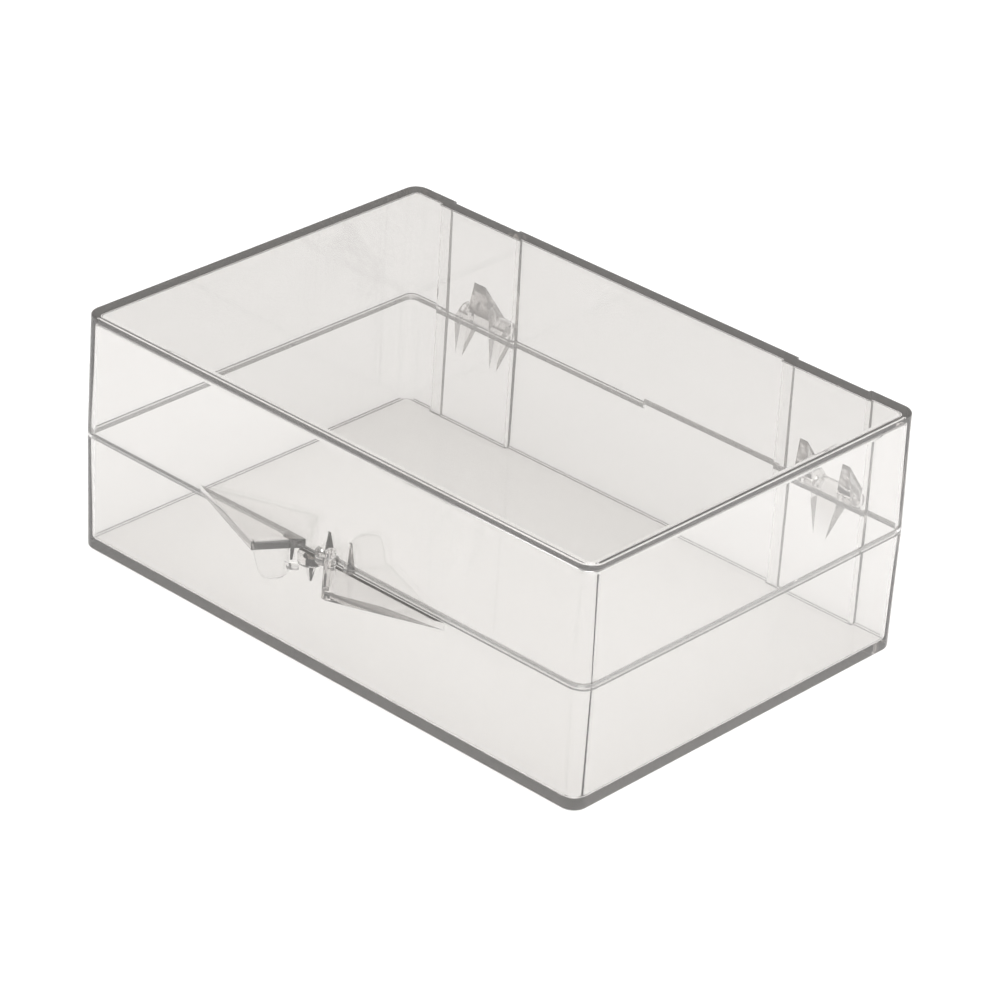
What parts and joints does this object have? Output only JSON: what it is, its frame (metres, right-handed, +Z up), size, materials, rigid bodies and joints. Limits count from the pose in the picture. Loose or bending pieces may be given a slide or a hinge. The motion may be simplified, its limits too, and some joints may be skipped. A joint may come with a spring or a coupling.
{
  "type": "hinged storage box",
  "caption": "Clear moulded storage box with a hinged lid, stepped seam, pin hinges at the back and snap thumb catches at the front.",
  "frame": {"origin": "middle of the base's flat underside, on the surface that the box rests on", "axes": "+X to the right along the longer side, +Y from the catches at the front to the hinges at the back, +Z up"},
  "size_m": [0.113, 0.0889, 0.0434],
  "materials": {
    "clear_styrene": "gloss"
  },
  "bodies": {
    "base": {"box_base": "clear_styrene"},
    "lid": {"box_lid": "clear_styrene"}
  },
  "joints": [
    {"name": "lid_hinge", "type": "hinge", "parent": "base", "child": "lid", "pos_m": [0, 0.0409, 0.0217], "axis": [-1, 0, 0], "range_deg": [0, 180]}
  ]
}
